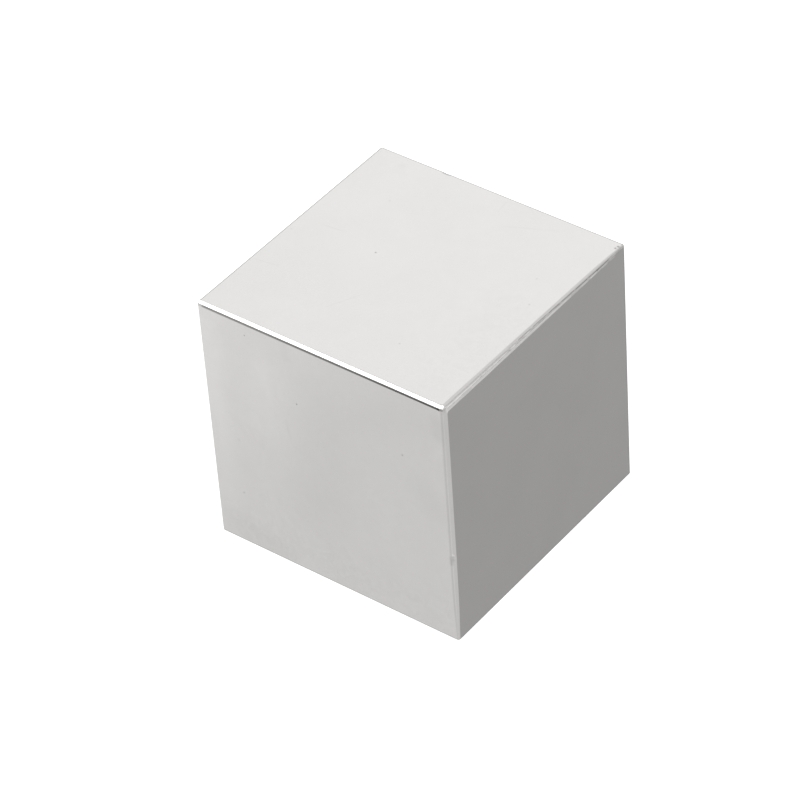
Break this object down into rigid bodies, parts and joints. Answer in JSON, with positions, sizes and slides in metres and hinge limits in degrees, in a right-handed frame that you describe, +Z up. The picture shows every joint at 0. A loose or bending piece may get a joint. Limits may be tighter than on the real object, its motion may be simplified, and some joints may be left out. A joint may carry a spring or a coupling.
{
  "type": "mirror-finish block cube",
  "caption": "Plain mirror-finish metal block cube: a sintered magnet body with rounded edges in a bright nickel, copper and nickel coating.",
  "frame": {"origin": "centre of the base face, where the block stands", "axes": "+Z up through the centre of the top face, which is also the way the magnet is taken to be magnetised; +X and +Y straight out of two side faces"},
  "size_m": [0.0508, 0.0508, 0.0508],
  "materials": {
    "sintered_alloy": "matte",
    "strike_nickel": "satin",
    "plated_copper": "satin",
    "bright_nickel": "polished"
  },
  "bodies": {
    "root": {"magnet_core": "sintered_alloy", "nickel_underplate": "strike_nickel", "copper_plate": "plated_copper", "nickel_topplate": "bright_nickel"}
  },
  "joints": []
}
